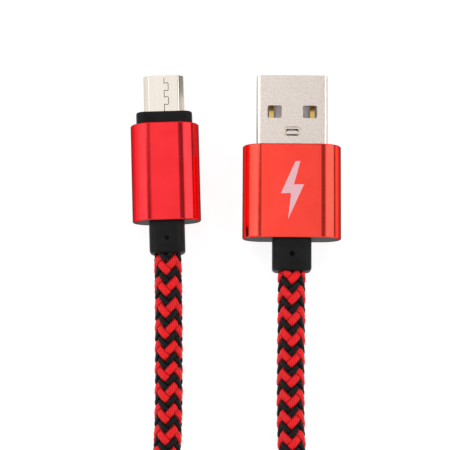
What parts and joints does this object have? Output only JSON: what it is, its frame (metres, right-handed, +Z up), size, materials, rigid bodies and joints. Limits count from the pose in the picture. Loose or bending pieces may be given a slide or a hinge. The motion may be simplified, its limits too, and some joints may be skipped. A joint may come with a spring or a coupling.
{
  "type": "charging cable",
  "caption": "Braided charging cable with a USB-A plug and a micro-USB plug in metal sleeves, its spare length folded into a tied hank.",
  "frame": {"origin": "on the surface that the cable lies on, under the middle of the two plugs' bounding box", "axes": "+Z up from the surface; +Y the way the plugs point; +X across the plugs, from the micro-USB plug towards the USB-A plug"},
  "size_m": [0.042, 0.1642, 0.01],
  "materials": {
    "red_sleeve": "satin red anodised",
    "satin_shell": "fine-grained nickel plate",
    "polished_shell": "polished nickel plate",
    "plated_steel": "tin plate",
    "spring_steel": "stamped spring steel",
    "gold_contacts": "gold plate",
    "solder": "bright solder",
    "black_moulding": "fine matt",
    "black_insulator": "matt",
    "pale_insulator": "satin",
    "inner_mould": "milky",
    "braided_cord": "red and black two-over-two braid",
    "hook_and_loop_strap": "hook and loop",
    "wire_red": "gloss",
    "wire_white": "gloss",
    "wire_green": "gloss",
    "wire_black": "gloss"
  },
  "bodies": {
    "cable": {"cord_hank": "braided_cord", "hank_tie": "hook_and_loop_strap", "micro_body": "black_moulding", "micro_cable_end": "braided_cord", "micro_contact_tails": "gold_contacts", "micro_cord": "braided_cord", "micro_inner_mould": "inner_mould", "micro_insulator": "black_insulator", "micro_latch_base": "spring_steel", "micro_rear_shield": "plated_steel", "micro_shell": "polished_shell", "micro_sleeve": "red_sleeve", "micro_solder_joints": "solder", "micro_wire_black": "wire_black", "micro_wire_green": "wire_green", "micro_wire_red": "wire_red", "micro_wire_white": "wire_white", "usb_a_body": "black_moulding", "usb_a_cable_end": "braided_cord", "usb_a_cord": "braided_cord", "usb_a_data_contacts": "gold_contacts", "usb_a_inner_mould": "inner_mould", "usb_a_insulator": "pale_insulator", "usb_a_power_contacts": "gold_contacts", "usb_a_rear_shield": "plated_steel", "usb_a_shell": "satin_shell", "usb_a_sleeve": "red_sleeve", "usb_a_solder_joints": "solder", "usb_a_wire_black": "wire_black", "usb_a_wire_green": "wire_green", "usb_a_wire_red": "wire_red", "usb_a_wire_white": "wire_white"},
    "latch_left": {"micro_latch_left": "spring_steel"},
    "latch_right": {"micro_latch_right": "spring_steel"},
    "contact_springs": {"micro_contact_springs": "gold_contacts"}
  },
  "joints": [
    {"name": "latch_left_flex", "type": "hinge", "parent": "cable", "child": "latch_left", "pos_m": [-0.01467, 0.01081, 0.00298], "axis": [0.9996, 0.0288, 0], "range_deg": [0, 5.5], "stiffness_Nm_per_rad": 0.05},
    {"name": "latch_right_flex", "type": "hinge", "parent": "cable", "child": "latch_right", "pos_m": [-0.00997, 0.01094, 0.00298], "axis": [0.9996, 0.0288, 0], "range_deg": [0, 5.5], "stiffness_Nm_per_rad": 0.05},
    {"name": "contact_springs_flex", "type": "hinge", "parent": "cable", "child": "contact_springs", "pos_m": [-0.01234, 0.01157, 0.00346], "axis": [0.9996, 0.0288, 0], "range_deg": [0, 2.5], "stiffness_Nm_per_rad": 0.05}
  ]
}
